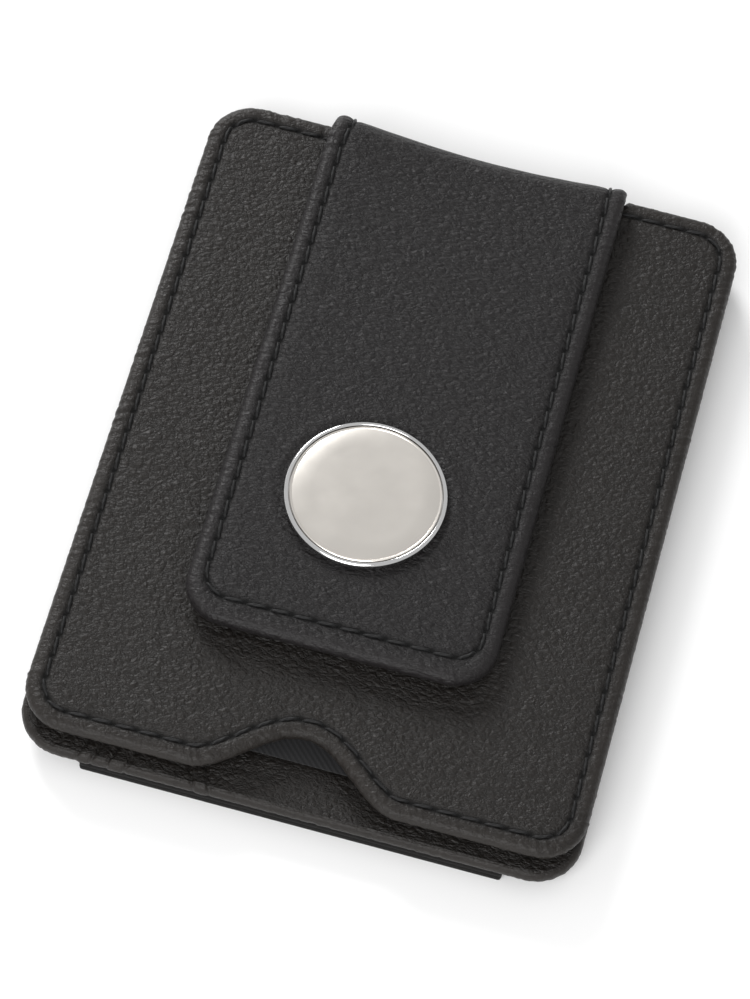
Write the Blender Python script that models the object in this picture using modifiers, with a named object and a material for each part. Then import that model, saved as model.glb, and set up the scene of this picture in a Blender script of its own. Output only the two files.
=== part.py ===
"""Magnetic money clip wallet: a flat card wallet with a folded clip flap over its front.

Metres, +Z up. The wallet lies on its back: +Z comes out of its front face, +Y points to
the top edge where the flap folds over, and +X is to the right. The origin is on the
surface below the middle of the wallet.
"""

import math

import bmesh
import bpy
from mathutils import Matrix, Vector

# Driving dimensions of the wallet.
MM = 0.001
WIDTH = 76.2 * MM
HEIGHT = 102.0 * MM
CORNER_RADIUS = 6.4 * MM
TOP = HEIGHT / 2
BOTTOM = -HEIGHT / 2
HEM_RISE = 1.2 * MM            # the front panel ends this far above the rear panel
NOTCH_CENTRE = -0.5 * MM
NOTCH_HALF_WIDTH = 14.3 * MM
NOTCH_DEPTH = 7.8 * MM
NOTCH_SPREAD = 0.4             # an inset outline's notch is wider by this share of the inset
SEAM_INSET = 2.4 * MM
THREAD_RADIUS = 0.2 * MM
GROOVE_RADIUS = 0.45 * MM
THREAD_SINK = 0.15 * MM        # a thread's middle lies this far below the leather's face
BACK_THREAD_SINK = 0.22 * MM   # on the back the thread stays inside its groove
BOARD_INSET = 3.5 * MM
FRONT_LINING_INSET = 3.4 * MM
REAR_LINING_INSET = 2.0 * MM
WELT_INSETS = (0.3 * MM, 4.6 * MM)
WELT_END = BOTTOM + 8.0 * MM   # the pocket's mouth is open below this height

# The rear pocket.
POCKET_WIDTH = 57.5 * MM
POCKET_HEIGHT = 80.0 * MM
POCKET_NOTCH_HALF_WIDTH = 12.0 * MM
POCKET_NOTCH_DEPTH = 8.0 * MM
POCKET_SEAM_INSET = 1.3 * MM
POCKET_THREAD_END = 1.0 * MM
POCKET_WELT_INSET = 0.4 * MM
POCKET_WELT_WIDTH = 2.6 * MM
POCKET_LINING_INSET = 0.6 * MM

# The clip flap and its metal disc.
FLAP_WIDTH = 42.6 * MM
FLAP_CENTRE = -0.4 * MM
FLAP_END = BOTTOM + 20.8 * MM
FLAP_CORNER_RADIUS = 6.0 * MM
FLAP_SEAM_INSET = 2.3 * MM
DISC_X = -1.9 * MM
DISC_Y = BOTTOM + 44.1 * MM
DISC_RADIUS = 11.0 * MM
MAGNET_SIZE = (20.0 * MM, 6.0 * MM)
MAGNET_Y = BOTTOM + 27.0 * MM
MAGNET_CORNER = 1.0 * MM
MAGNET_SEAT = 0.3 * MM         # clearance round a magnet
MAGNET_COVER = 0.15 * MM       # clearance above a magnet
SWELL_ROOT = 0.4 * MM
SEAT_OVERSHOOT = 0.5 * MM
SWELL_MARGIN = 1.2 * MM        # the leather's rise reaches this far past a magnet
STIFFENER_SIZE = (35.0 * MM, 71.5 * MM)
STIFFENER_CORNER = 3.0 * MM
STIFFENER_HOLE = 10.1 * MM
LINING_INSET = 0.3 * MM
LINING_ROUNDING = 0.15 * MM
PANEL_ROUNDING = 0.35 * MM
LINING_SETBACK = 1.0 * MM      # the flap's lining stops this far short of the cover
WASHER_RADII = (7.0 * MM, 9.6 * MM)
PRONG_COUNT = 4
PRONG_CIRCLE = 8.4 * MM
PRONG_SIZE = (1.6 * MM, 0.4 * MM)
PRONG_END = 10.02 * MM
SLOT_MARGIN = 0.3 * MM
BEZEL_HOLE = 6.6 * MM
BEZEL_FLOOR = 0.3 * MM
BEZEL_WALL = 0.6 * MM
PLATE_RADIUS = DISC_RADIUS - 0.8 * MM
PLATE_ROUNDING = 0.12 * MM

# Layers from the back of the wallet to its front: (low, high).
POCKET_PANEL_Z = (0.0, 0.9 * MM)
POCKET_LINING_Z = (1.1 * MM, 1.4 * MM)
POCKET_WELT_Z = (1.6 * MM, 2.2 * MM)
REAR_PANEL_Z = (2.4 * MM, 3.2 * MM)
REAR_BOARD_Z = (3.4 * MM, 3.8 * MM)
REAR_LINING_Z = (4.0 * MM, 4.3 * MM)
WELT_Z = (4.5 * MM, 5.75 * MM)
WELT_STEP = 4.9 * MM           # the welt is this low under the flap's anchor
ANCHOR_Z = (5.05 * MM, 5.75 * MM)
FRONT_LINING_Z = (5.95 * MM, 6.2 * MM)
FRONT_BOARD_Z = (6.4 * MM, 6.8 * MM)
FRONT_PANEL_Z = (7.0 * MM, 8.0 * MM)
FRONT_MAGNET_Z = (6.45 * MM, 7.25 * MM)
FRONT_SWELL_Z = 8.35 * MM      # top of the leather that the front magnet pushes up
FLAP_SWELL_Z = 8.65 * MM       # underside of the lining over the flap's magnet
FLAP_LINING_Z = (9.0 * MM, 9.5 * MM)
FLAP_MAGNET_Z = (9.35 * MM, 10.15 * MM)
FLAP_STIFFENER_Z = (9.7 * MM, 10.1 * MM)
WASHER_Z = (9.65 * MM, 9.9 * MM)
FLAP_COVER_Z = (10.3 * MM, 11.3 * MM)
BEZEL_Z = (11.5 * MM, 12.55 * MM)
PLATE_Z = (12.0 * MM, 12.45 * MM)

# The fold: a half circle that joins the anchor tab in the top seam to the flap's cover.
FOLD_THICKNESS = 0.8 * MM
FOLD_LOW = 5.45 * MM
FOLD_HIGH = (FLAP_COVER_Z[0] + FLAP_COVER_Z[1]) / 2
FOLD_RADIUS = (FOLD_HIGH - FOLD_LOW) / 2
FOLD_Z = (FOLD_HIGH + FOLD_LOW) / 2
FOLD_Y = TOP - 0.2 * MM - FOLD_THICKNESS / 2 - FOLD_RADIUS
RECESS_DEPTH = 2.6 * MM        # the front panel's top edge steps back under the fold
RECESS_CLEARANCE = 0.6 * MM
RECESS_CORNER = 0.8 * MM
SEAM_RECESS_CORNER = 1.2 * MM
SMALLEST_CORNER = 1.5 * MM
ANCHOR_LENGTH = 11.0 * MM
ANCHOR_HALF_WIDTH = FLAP_WIDTH / 2 - 0.4 * MM
ANCHOR_ANGLES = (-90, -80)
COVER_SETBACK = 0.05 * MM      # the cover starts this far below the fold's centre
THREAD_SETBACK = 1.5 * MM
FOLD_ANGLES = (-62, 82)

# A leather corner that unfolds about this point keeps its length: it lies a little inside
# the corner, 1 - pi / 4 of the bend's radius.
AXIS_INSET = (1 - math.pi / 4) * FOLD_RADIUS
AXIS_Y = FOLD_Y + FOLD_RADIUS - AXIS_INSET
FOLD_AXIS = Vector((0.0, AXIS_Y, FOLD_LOW + AXIS_INSET))
FLAP_AXIS = Vector((0.0, AXIS_Y, FOLD_HIGH - AXIS_INSET))

ARC_SEGMENTS = 8
NOTCH_SEGMENTS = 20


def clear_scene():
    for item in list(bpy.data.objects):
        bpy.data.objects.remove(item, do_unlink=True)


def new_collection(name):
    collection = bpy.data.collections.new(name)
    bpy.context.scene.collection.children.link(collection)
    return collection


def make_material(name, color, roughness, metallic=0.0):
    material = bpy.data.materials.new(name)
    material.use_nodes = True
    shader = material.node_tree.nodes["Principled BSDF"]
    shader.inputs["Base Color"].default_value = (*color, 1.0)
    shader.inputs["Roughness"].default_value = roughness
    shader.inputs["Metallic"].default_value = metallic
    material.diffuse_color = (*color, 1.0)
    return material


# Outlines: counter-clockwise lists of points.

def arc(centre, radius, start, end, segments=ARC_SEGMENTS):
    points = []
    for step in range(segments + 1):
        angle = math.radians(start + (end - start) * step / segments)
        points.append((centre[0] + radius * math.cos(angle), centre[1] + radius * math.sin(angle)))
    return points


def rounded_rectangle(low, high, radius):
    left, right = low[0] + radius, high[0] - radius
    bottom, top = low[1] + radius, high[1] - radius
    points = arc((left, bottom), radius, 180, 270)
    points += arc((right, bottom), radius, 270, 360)
    points += arc((right, top), radius, 0, 90)
    points += arc((left, top), radius, 90, 180)
    return points


def centred_rectangle(centre, size, radius, margin=0.0):
    half = (size[0] / 2 + margin, size[1] / 2 + margin)
    low = (centre[0] - half[0], centre[1] - half[1])
    high = (centre[0] + half[0], centre[1] + half[1])
    return rounded_rectangle(low, high, radius)


def circle(centre, radius, segments=40):
    return arc(centre, radius, 0, 360 - 360 / segments, segments - 1)


def wave(x, centre, half_width, depth):
    """One smooth thumb notch: a raised cosine."""
    offset = (x - centre) / half_width
    if abs(offset) >= 1:
        return 0.0
    return depth * 0.5 * (1 + math.cos(math.pi * offset))


def thumb_edge(level, depth, inset=0.0):
    """The notched bottom edge of the front, left to right."""
    points = []
    half = NOTCH_HALF_WIDTH + inset * NOTCH_SPREAD
    for step in range(NOTCH_SEGMENTS + 1):
        x = NOTCH_CENTRE + half * (2 * step / NOTCH_SEGMENTS - 1)
        points.append((x, level + wave(x, NOTCH_CENTRE, half, depth)))
    return points


def front_outline(inset, recess_radius=RECESS_CORNER):
    """The front panel's outline, moved in by inset, with its notch and its step under the fold."""
    radius = max(CORNER_RADIUS - inset, SMALLEST_CORNER)
    left, right = -WIDTH / 2 + inset + radius, WIDTH / 2 - inset - radius
    low = BOTTOM + HEM_RISE + inset
    high = TOP - inset
    step_y = TOP - RECESS_DEPTH - inset
    step_half = FLAP_WIDTH / 2 + RECESS_CLEARANCE + inset
    points = arc((left, low + radius), radius, 180, 270)
    points += thumb_edge(low, NOTCH_DEPTH, inset)
    points += arc((right, low + radius), radius, 270, 360)
    points += arc((right, high - radius), radius, 0, 90)
    corner = FLAP_CENTRE + step_half
    points += arc((corner + recess_radius, high - recess_radius), recess_radius, 90, 180, 4)
    points.append((corner, step_y))
    corner = FLAP_CENTRE - step_half
    points.append((corner, step_y))
    points += arc((corner - recess_radius, high - recess_radius), recess_radius, 0, 90, 4)
    points += arc((left, high - radius), radius, 90, 180)
    return points


def body_outline(inset):
    low = (-WIDTH / 2 + inset, BOTTOM + inset)
    high = (WIDTH / 2 - inset, TOP - inset)
    return rounded_rectangle(low, high, CORNER_RADIUS - inset)


def half_frame(inset):
    """The sides and the top of the body, open at the bottom."""
    radius = CORNER_RADIUS - inset
    right, high = WIDTH / 2 - inset, TOP - inset
    points = [(right, WELT_END)]
    points += arc((right - radius, high - radius), radius, 0, 90)
    points += arc((-right + radius, high - radius), radius, 90, 180)
    points.append((-right, WELT_END))
    return points


def pocket_outline(inset):
    """The rear pocket, with square lower corners and a notched top edge."""
    half = POCKET_WIDTH / 2 - inset
    low, high = BOTTOM + inset, BOTTOM + POCKET_HEIGHT - inset
    points = [(-half, low), (half, low), (half, high)]
    for step in range(NOTCH_SEGMENTS + 1):
        x = POCKET_NOTCH_HALF_WIDTH * (1 - 2 * step / NOTCH_SEGMENTS)
        dip = wave(x, 0.0, POCKET_NOTCH_HALF_WIDTH, POCKET_NOTCH_DEPTH)
        points.append((x, high - dip))
    points.append((-half, high))
    return points


def pocket_frame(inset, top_inset):
    half = POCKET_WIDTH / 2 - inset
    low, high = BOTTOM + inset, BOTTOM + POCKET_HEIGHT - top_inset
    return [(-half, high), (-half, low), (half, low), (half, high)]


def flap_outline(inset, start):
    """The flap from its rounded free end up to a straight edge at start."""
    half = FLAP_WIDTH / 2 - inset
    radius = FLAP_CORNER_RADIUS - inset
    low = FLAP_END + inset
    points = arc((FLAP_CENTRE - half + radius, low + radius), radius, 180, 270)
    points += arc((FLAP_CENTRE + half - radius, low + radius), radius, 270, 360)
    points += [(FLAP_CENTRE + half, start), (FLAP_CENTRE - half, start)]
    return points


def fold_band(start, end, straight=0.0, segments=12):
    """The strap's section along the fold in (y, z), from one angle to another."""
    centre = (FOLD_Y, FOLD_Z)
    outside = arc(centre, FOLD_RADIUS + FOLD_THICKNESS / 2, start, end, segments)
    inside = arc(centre, FOLD_RADIUS - FOLD_THICKNESS / 2, start, end, segments)
    if straight:
        outside.insert(0, (FOLD_Y - straight, FOLD_LOW - FOLD_THICKNESS / 2))
        inside.insert(0, (FOLD_Y - straight, FOLD_LOW + FOLD_THICKNESS / 2))
    return outside + inside[::-1]


# Solids.

def curve_mesh(curve, name, material):
    """The evaluated mesh of a curve, with its caps welded on, as a new object."""
    source = bpy.data.objects.new(name + "_curve", curve)
    bpy.context.scene.collection.objects.link(source)
    graph = bpy.context.evaluated_depsgraph_get()
    mesh = bpy.data.meshes.new_from_object(source.evaluated_get(graph))
    bpy.data.objects.remove(source, do_unlink=True)
    bpy.data.curves.remove(curve)
    shape = bmesh.new()
    shape.from_mesh(mesh)
    bmesh.ops.remove_doubles(shape, verts=shape.verts, dist=1e-6)
    bmesh.ops.recalc_face_normals(shape, faces=shape.faces)
    shape.to_mesh(mesh)
    shape.free()
    mesh.materials.clear()
    if material:
        mesh.materials.append(material)
    mesh.name = name
    return bpy.data.objects.new(name, mesh)


def flat_curve(loops, thickness):
    curve = bpy.data.curves.new("outline", "CURVE")
    curve.dimensions = "2D"
    curve.fill_mode = "BOTH"
    curve.extrude = thickness / 2
    for loop in loops:
        spline = curve.splines.new("POLY")
        spline.points.add(len(loop) - 1)
        for point, (x, y) in zip(spline.points, loop):
            point.co = (x, y, 0.0, 1.0)
        spline.use_cyclic_u = True
    return curve


def soften(item, width, segments=2):
    bevel = item.modifiers.new("rounded_edges", "BEVEL")
    bevel.width = width
    bevel.segments = segments
    bevel.limit_method = "ANGLE"
    bevel.angle_limit = math.radians(50)
    return item


def plate(name, loops, layer, material, rounding=0.0):
    """A flat layer between two heights, cut to the outer loop and round the inner loops."""
    item = curve_mesh(flat_curve(loops, layer[1] - layer[0]), name, material)
    item.location.z = (layer[0] + layer[1]) / 2
    if rounding:
        soften(item, rounding)
    return item


def strap_piece(name, section, half_width, material):
    """A section in (y, z) made into a strip across the flap's width."""
    item = curve_mesh(flat_curve([section], 2 * half_width), name, material)
    turn = Matrix(((0, 0, 1), (1, 0, 0), (0, 1, 0))).to_4x4()
    item.data.transform(turn)
    item.location.x = FLAP_CENTRE
    return item


def tube(name, path, radius, height, closed, material, sides=2):
    """A round cord along a flat path at one height."""
    curve = bpy.data.curves.new("path", "CURVE")
    curve.dimensions = "3D"
    curve.bevel_depth = radius
    curve.bevel_resolution = sides
    curve.use_fill_caps = not closed
    spline = curve.splines.new("POLY")
    spline.points.add(len(path) - 1)
    for point, (x, y) in zip(spline.points, path):
        point.co = (x, y, height, 1.0)
    spline.use_cyclic_u = closed
    return curve_mesh(curve, name, material)


def turned(name, profile, location, material, steps=48):
    """A ring from a closed profile of (radius, height) points."""
    mesh = bpy.data.meshes.new(name)
    points = [(radius, 0.0, height) for radius, height in profile]
    count = len(points)
    mesh.from_pydata(points, [(k, (k + 1) % count) for k in range(count)], [])
    mesh.materials.append(material)
    item = bpy.data.objects.new(name, mesh)
    item.location = location
    screw = item.modifiers.new("turn", "SCREW")
    screw.steps = steps
    screw.render_steps = steps
    screw.use_merge_vertices = True
    screw.merge_threshold = 0.00001
    screw.use_normal_calculate = True
    return item


def box_mesh(name, size, location, turn=0.0):
    shape = bmesh.new()
    bmesh.ops.create_cube(shape, size=1.0)
    mesh = bpy.data.meshes.new(name)
    shape.to_mesh(mesh)
    shape.free()
    scale = Matrix.Diagonal((*size, 1.0))
    mesh.transform(scale)
    item = bpy.data.objects.new(name, mesh)
    item.location = location
    item.rotation_euler.z = turn
    return item


def combine(target, cutter, operation):
    link = target.modifiers.new(cutter.name, "BOOLEAN")
    link.operation = operation
    link.solver = "EXACT"
    link.object = cutter
    cutter.hide_render = True
    cutter.display_type = "WIRE"
    CUTTERS.objects.link(cutter)
    return target


def add(item):
    PARTS.objects.link(item)
    item.data.shade_smooth()
    item.data.set_sharp_from_angle(angle=math.radians(35))
    return item


# The wallet.

def seam_path(inset):
    return front_outline(inset, recess_radius=SEAM_RECESS_CORNER)


def magnet_loop(margin):
    return centred_rectangle((FLAP_CENTRE, MAGNET_Y), MAGNET_SIZE, MAGNET_CORNER + margin, margin)


def make_front(leather, lining, board, steel, thread):
    panel = plate("front_panel", [front_outline(0.0)], FRONT_PANEL_Z, leather, PANEL_ROUNDING)
    swell_layer = (FRONT_PANEL_Z[1] - SWELL_ROOT, FRONT_SWELL_Z)
    swell = plate("front_swell", [magnet_loop(SWELL_MARGIN)], swell_layer, leather)
    combine(panel, swell, "UNION")
    seat_layer = (FRONT_PANEL_Z[0] - SEAT_OVERSHOOT, FRONT_MAGNET_Z[1] + MAGNET_COVER)
    seat = plate("front_magnet_seat", [magnet_loop(MAGNET_SEAT)], seat_layer, None)
    combine(panel, seat, "DIFFERENCE")
    groove = tube("front_groove", seam_path(SEAM_INSET), GROOVE_RADIUS, FRONT_PANEL_Z[1], True, None)
    combine(panel, groove, "DIFFERENCE")
    add(panel)
    height = FRONT_PANEL_Z[1] - THREAD_SINK
    add(tube("front_seam_thread", seam_path(SEAM_INSET), THREAD_RADIUS, height, True, thread))
    hole = magnet_loop(MAGNET_SEAT)
    add(plate("front_board", [front_outline(BOARD_INSET), hole], FRONT_BOARD_Z, board))
    add(plate("front_lining", [front_outline(FRONT_LINING_INSET)], FRONT_LINING_Z, lining))
    add(plate("front_magnet", [magnet_loop(0.0)], FRONT_MAGNET_Z, steel))


def make_rear(leather, lining, board, thread):
    panel = plate("rear_panel", [body_outline(0.0)], REAR_PANEL_Z, leather, PANEL_ROUNDING)
    path = body_outline(SEAM_INSET)
    groove = tube("rear_groove", path, GROOVE_RADIUS, REAR_PANEL_Z[0], True, None)
    combine(panel, groove, "DIFFERENCE")
    add(panel)
    height = REAR_PANEL_Z[0] + BACK_THREAD_SINK
    add(tube("rear_seam_thread", path, THREAD_RADIUS, height, True, thread))
    add(plate("rear_board", [body_outline(BOARD_INSET)], REAR_BOARD_Z, board))
    add(plate("rear_lining", [body_outline(REAR_LINING_INSET)], REAR_LINING_Z, lining))


def make_welt(leather):
    """The strip between the panels round the sides and the top, lower where the flap's anchor is."""
    outside, inside = (half_frame(inset) for inset in WELT_INSETS)
    welt = plate("pocket_welt", [outside + inside[::-1]], WELT_Z, leather)
    width = FLAP_WIDTH + 2 * RECESS_CLEARANCE
    size = (width, 2 * ANCHOR_LENGTH, 2 * (WELT_Z[1] - WELT_STEP))
    step = box_mesh("anchor_step", size, (FLAP_CENTRE, TOP, WELT_Z[1]))
    combine(welt, step, "DIFFERENCE")
    add(welt)


def make_rear_pocket(leather, lining, thread):
    panel = plate("rear_pocket_panel", [pocket_outline(0.0)], POCKET_PANEL_Z, leather)
    path = pocket_frame(POCKET_SEAM_INSET, POCKET_THREAD_END)
    groove_path = pocket_frame(POCKET_SEAM_INSET, -POCKET_THREAD_END)
    groove = tube("pocket_groove", groove_path, GROOVE_RADIUS, 0.0, False, None)
    combine(panel, groove, "DIFFERENCE")
    add(panel)
    height = POCKET_PANEL_Z[0] + BACK_THREAD_SINK
    add(tube("rear_pocket_thread", path, THREAD_RADIUS, height, False, thread))
    add(plate("rear_pocket_lining", [pocket_outline(POCKET_LINING_INSET)], POCKET_LINING_Z, lining))
    outer = pocket_frame(POCKET_WELT_INSET, POCKET_LINING_INSET)
    inner = pocket_frame(POCKET_WELT_INSET + POCKET_WELT_WIDTH, POCKET_LINING_INSET)
    add(plate("rear_pocket_welt", [outer + inner[::-1]], POCKET_WELT_Z, leather))


# The flap, its disc and its fold.

def make_flap(leather, lining, steel, thread):
    start = FOLD_Y - COVER_SETBACK
    cover = plate("flap_cover", [flap_outline(0.0, start)], FLAP_COVER_Z, leather, PANEL_ROUNDING)
    path = flap_outline(FLAP_SEAM_INSET, start - THREAD_SETBACK)
    open_path = path[-1:] + path[:-1]
    groove = tube("flap_groove", open_path, GROOVE_RADIUS, FLAP_COVER_Z[1], False, None)
    combine(cover, groove, "DIFFERENCE")
    depth = 4 * (FLAP_COVER_Z[1] - FLAP_COVER_Z[0])
    slot_size = (PRONG_SIZE[0] + 2 * SLOT_MARGIN, PRONG_SIZE[1] + 2 * SLOT_MARGIN, depth)
    for number, (x, y, turn) in enumerate(prong_places()):
        slot = box_mesh(f"prong_slot_{number}", slot_size, (x, y, FLAP_COVER_Z[1]), turn)
        combine(cover, slot, "DIFFERENCE")
    cover = add(cover)
    height = FLAP_COVER_Z[1] - THREAD_SINK
    seam = add(tube("flap_seam_thread", open_path, THREAD_RADIUS, height, False, thread))

    outline = flap_outline(LINING_INSET, start - LINING_SETBACK)
    inner = plate("flap_lining", [outline], FLAP_LINING_Z, lining, LINING_ROUNDING)
    swell_layer = (FLAP_SWELL_Z, FLAP_LINING_Z[0] + MAGNET_SEAT)
    swell = plate("flap_swell", [magnet_loop(SWELL_MARGIN)], swell_layer, lining)
    combine(inner, swell, "UNION")
    seat_layer = (FLAP_MAGNET_Z[0] - MAGNET_COVER, FLAP_LINING_Z[1] + SEAT_OVERSHOOT)
    seat = plate("flap_magnet_seat", [magnet_loop(MAGNET_SEAT)], seat_layer, None)
    combine(inner, seat, "DIFFERENCE")
    inner = add(inner)

    holes = [magnet_loop(MAGNET_SEAT), circle((DISC_X, DISC_Y), STIFFENER_HOLE)]
    middle = (FLAP_CENTRE, (FLAP_END + start) / 2)
    outline = centred_rectangle(middle, STIFFENER_SIZE, STIFFENER_CORNER)
    stiffener = add(plate("flap_stiffener", [outline] + holes, FLAP_STIFFENER_Z, steel))
    magnet = add(plate("flap_magnet", [magnet_loop(0.0)], FLAP_MAGNET_Z, steel))
    return [cover, seam, inner, stiffener, magnet]


def prong_places():
    """Each prong's place, and its turn along the circle."""
    for number in range(PRONG_COUNT):
        angle = 2 * math.pi * (number + 0.5) / PRONG_COUNT
        x = DISC_X + PRONG_CIRCLE * math.cos(angle)
        y = DISC_Y + PRONG_CIRCLE * math.sin(angle)
        yield x, y, angle + math.pi / 2


def make_disc(chrome, satin, steel):
    low, high = BEZEL_Z
    chamfer = BEZEL_WALL / 4
    inner = DISC_RADIUS - BEZEL_WALL
    profile = [
        (BEZEL_HOLE, low),
        (DISC_RADIUS - chamfer, low),
        (DISC_RADIUS, low + chamfer),
        (DISC_RADIUS, high - 2 * chamfer),
        (DISC_RADIUS - chamfer, high),
        (inner + chamfer, high),
        (inner, high - chamfer),
        (inner, low + BEZEL_FLOOR),
        (BEZEL_HOLE, low + BEZEL_FLOOR),
    ]
    bezel = turned("disc_bezel", profile, (DISC_X, DISC_Y, 0.0), chrome)
    prong_top = low + BEZEL_FLOOR / 2
    prong_size = (*PRONG_SIZE, prong_top - PRONG_END)
    for number, (x, y, turn) in enumerate(prong_places()):
        place = (x, y, (prong_top + PRONG_END) / 2)
        combine(bezel, box_mesh(f"prong_{number}", prong_size, place, turn), "UNION")
    bezel = add(bezel)

    centre = (DISC_X, DISC_Y)
    face = plate("disc_plate", [circle(centre, PLATE_RADIUS, 64)], PLATE_Z, satin, PLATE_ROUNDING)
    washer_loops = [circle(centre, radius) for radius in WASHER_RADII]
    washer = add(plate("disc_washer", washer_loops, WASHER_Z, steel))
    face = add(face)
    return [bezel, face, washer]


def make_fold(leather):
    section = fold_band(*ANCHOR_ANGLES, straight=ANCHOR_LENGTH, segments=2)
    add(strap_piece("flap_anchor", section, ANCHOR_HALF_WIDTH, leather))
    return add(strap_piece("flap_fold", fold_band(*FOLD_ANGLES), FLAP_WIDTH / 2, leather))


def hang(items, empty, place):
    """Parent pieces to an empty on their joint's axis without moving them."""
    for item in items:
        item.parent = empty
        item.matrix_parent_inverse = Matrix.Translation(-place)


def make_axes(fold, flap_pieces):
    fold_axis = bpy.data.objects.new("fold_axis", None)
    flap_axis = bpy.data.objects.new("flap_axis", None)
    for empty in (fold_axis, flap_axis):
        empty.empty_display_size = 0.01
        PARTS.objects.link(empty)
    fold_axis.location = FOLD_AXIS
    flap_axis.location = FLAP_AXIS
    hang([flap_axis], fold_axis, FOLD_AXIS)
    hang([fold], fold_axis, FOLD_AXIS)
    hang(flap_pieces, flap_axis, FLAP_AXIS)


clear_scene()
PARTS = new_collection("money_clip_wallet")
CUTTERS = new_collection("cutters")

body_leather = make_material("body_leather", (0.020, 0.019, 0.018), 0.55)
flap_leather = make_material("flap_leather", (0.032, 0.031, 0.034), 0.5)
lining_cloth = make_material("lining_cloth", (0.016, 0.016, 0.017), 0.8)
grey_board = make_material("grey_board", (0.24, 0.22, 0.19), 0.9)
magnet_steel = make_material("magnet_steel", (0.45, 0.45, 0.46), 0.35, 1.0)
spring_steel = make_material("spring_steel", (0.38, 0.38, 0.40), 0.4, 1.0)
disc_chrome = make_material("disc_chrome", (0.80, 0.80, 0.80), 0.1, 1.0)
disc_satin = make_material("disc_satin", (0.60, 0.58, 0.55), 0.3, 1.0)
black_thread = make_material("black_thread", (0.012, 0.012, 0.013), 0.6)

make_front(body_leather, lining_cloth, grey_board, magnet_steel, black_thread)
make_rear(body_leather, lining_cloth, grey_board, black_thread)
make_welt(body_leather)
make_rear_pocket(body_leather, lining_cloth, black_thread)
moving = make_flap(flap_leather, lining_cloth, spring_steel, black_thread)
moving += make_disc(disc_chrome, disc_satin, spring_steel)
make_axes(make_fold(flap_leather), moving)
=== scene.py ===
"""Looks of the magnetic money clip wallet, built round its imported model."""

import math

import bmesh
import bpy
import numpy as np
from mathutils import Matrix, Vector, geometry, kdtree, noise


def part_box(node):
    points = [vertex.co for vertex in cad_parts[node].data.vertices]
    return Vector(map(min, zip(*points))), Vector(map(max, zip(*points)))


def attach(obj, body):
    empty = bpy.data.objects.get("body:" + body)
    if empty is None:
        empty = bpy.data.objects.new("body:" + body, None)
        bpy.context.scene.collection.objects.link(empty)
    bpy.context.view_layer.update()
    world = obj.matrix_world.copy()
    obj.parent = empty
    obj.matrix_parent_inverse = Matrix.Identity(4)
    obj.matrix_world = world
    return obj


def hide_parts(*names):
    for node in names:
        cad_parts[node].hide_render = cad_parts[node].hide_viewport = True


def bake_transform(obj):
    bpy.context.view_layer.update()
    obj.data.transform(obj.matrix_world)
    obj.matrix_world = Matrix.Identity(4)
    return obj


MM = 0.001

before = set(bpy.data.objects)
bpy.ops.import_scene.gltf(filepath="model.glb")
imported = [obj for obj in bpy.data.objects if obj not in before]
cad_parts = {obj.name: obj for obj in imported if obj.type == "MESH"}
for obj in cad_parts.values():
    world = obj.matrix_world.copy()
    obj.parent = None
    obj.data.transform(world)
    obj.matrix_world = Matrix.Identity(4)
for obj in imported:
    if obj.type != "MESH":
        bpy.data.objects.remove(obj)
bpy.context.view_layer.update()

# Places taken from the frame.
FRONT_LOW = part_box("front_panel")[0]
REAR_LOW, REAR_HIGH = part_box("rear_panel")
POCKET_LOW, POCKET_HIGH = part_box("rear_pocket_panel")
COVER_LOW, COVER_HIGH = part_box("flap_cover")
LINING_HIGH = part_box("flap_lining")[1]
FOLD_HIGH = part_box("flap_fold")[1]
BEZEL_LOW, BEZEL_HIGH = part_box("disc_bezel")
PLATE_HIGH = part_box("disc_plate")[1]
MAGNET_LOW, MAGNET_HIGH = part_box("front_magnet")

# The body.
LEFT, RIGHT = REAR_LOW.x, REAR_HIGH.x
BOTTOM, TOP = REAR_LOW.y, REAR_HIGH.y
CORNER = 6.4 * MM
FRONT_EDGE = FRONT_LOW.y + 0.3 * MM         # level of the front's notched hem
FRONT_FACE = FRONT_LOW.z + 1.0 * MM
FRONT_BACK = FRONT_FACE - 1.9 * MM
REAR_FACE = REAR_LOW.z
REAR_INSIDE = REAR_FACE + 2.0 * MM
SEAM_INSET = 2.4 * MM
PITCH = 3.2 * MM
STITCH = 2.75 * MM
THREAD = 0.21 * MM
THREAD_SINK = 0.34 * MM                     # how deep a stitch dives at its ends
THREAD_ARCH = 0.40 * MM
PLY_DEPTH = 0.17
PLY_TWIST = 6.5
SEAM_SHADE_WIDTH = 0.40 * MM                     # width of the painted shade along a seam's groove
# width of the painted shade round each stitch hole
HOLE_SHADE_WIDTH = 0.42 * MM
HOLE_WIDTH = 0.38 * MM
HOLE_DEPTH = 0.22 * MM
SEAM_STEP = 0.1 * MM
PLEATS = ((-28.9 * MM, -27.1 * MM), (-24.8 * MM, -22.5 * MM), (-13.2 * MM, -11.2 * MM))
NOTCH_X = -0.5 * MM
NOTCH_HALF = 14.3 * MM
NOTCH_DEPTH = 7.8 * MM
REAR_HEM = 0.3 * MM                         # how far the rear hem stands out at the lower edge
HEM_STEP = 0.22 * MM                        # thickness of the turned leather inside the mouth
PLEAT_LEAN = 0.35
PLEAT_SIDE = 0.3 * MM
POCKET_NOTCH_HALF = 12.0 * MM
POCKET_NOTCH_DEPTH = 8.0 * MM

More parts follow.
